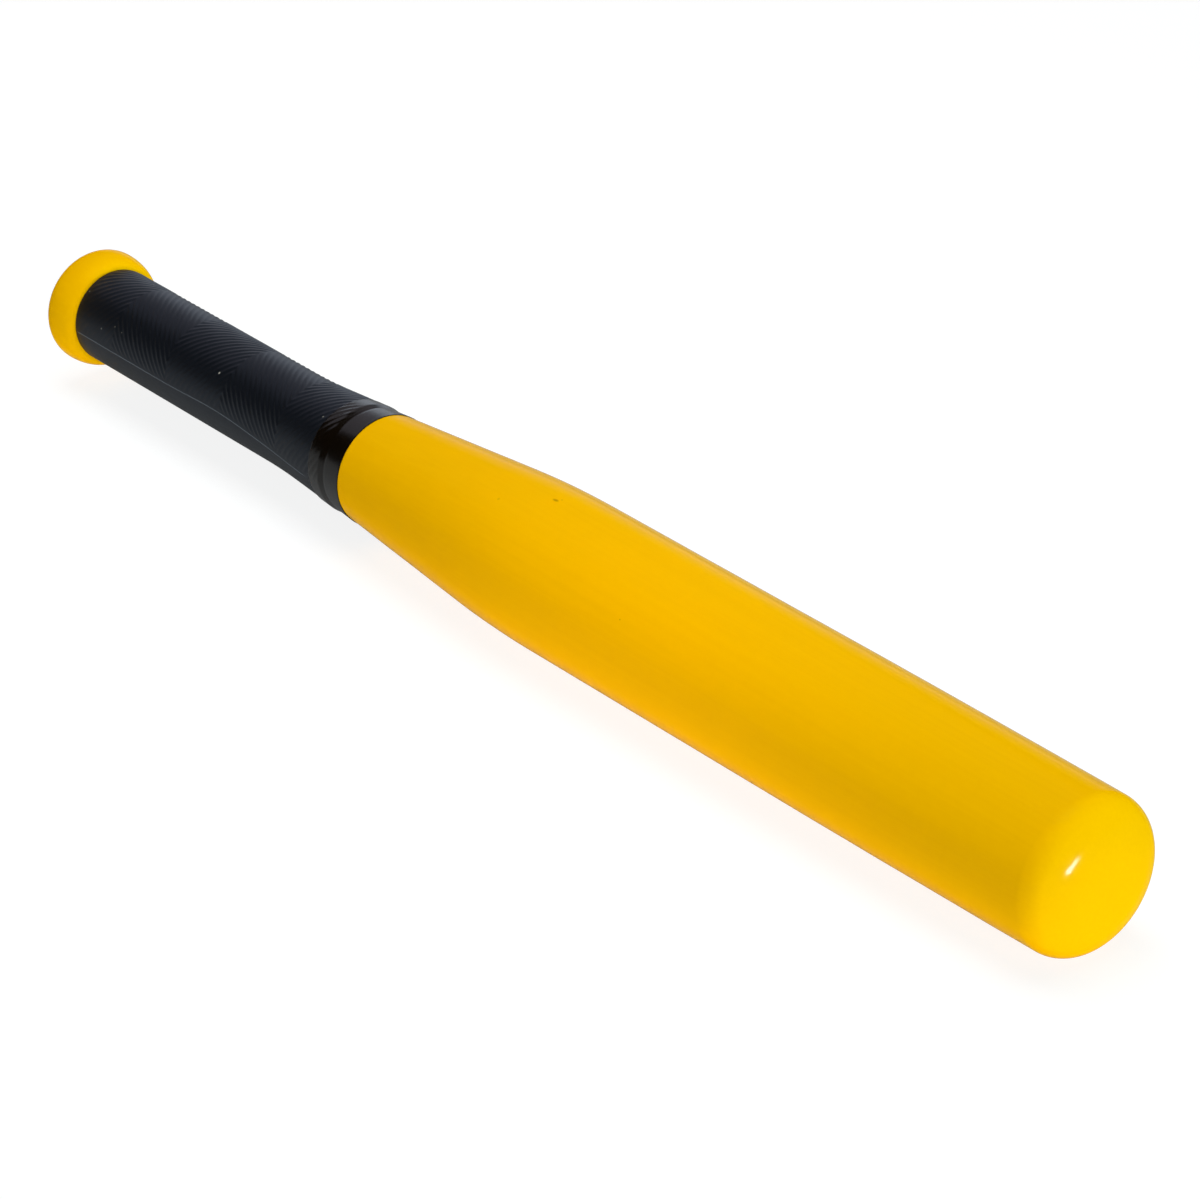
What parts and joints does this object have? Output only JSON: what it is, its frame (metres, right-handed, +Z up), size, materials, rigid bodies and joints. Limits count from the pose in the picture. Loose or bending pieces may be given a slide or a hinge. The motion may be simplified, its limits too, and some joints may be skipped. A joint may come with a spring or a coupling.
{
  "type": "rounders bat",
  "caption": "Short round wooden bat with a yellow lacquered barrel, a tapered neck, a black rubber grip, a tape band and a domed knob.",
  "frame": {"origin": "on the surface that the barrel lies on, under the middle of the bat's length and box", "axes": "+X along the bat's axis from the knob to the barrel end, +Y across it, +Z up"},
  "size_m": [0.46, 0.046, 0.046],
  "materials": {
    "lacquered_wood": "thick yellow gloss lacquer over light hardwood",
    "grip_rubber": "matt black moulded natural rubber with fine fanned ridges",
    "tape": "glossy black PVC tape"
  },
  "bodies": {
    "root": {"turned_bat": "lacquered_wood", "rubber_grip": "grip_rubber", "grip_tape": "tape"}
  },
  "joints": []
}
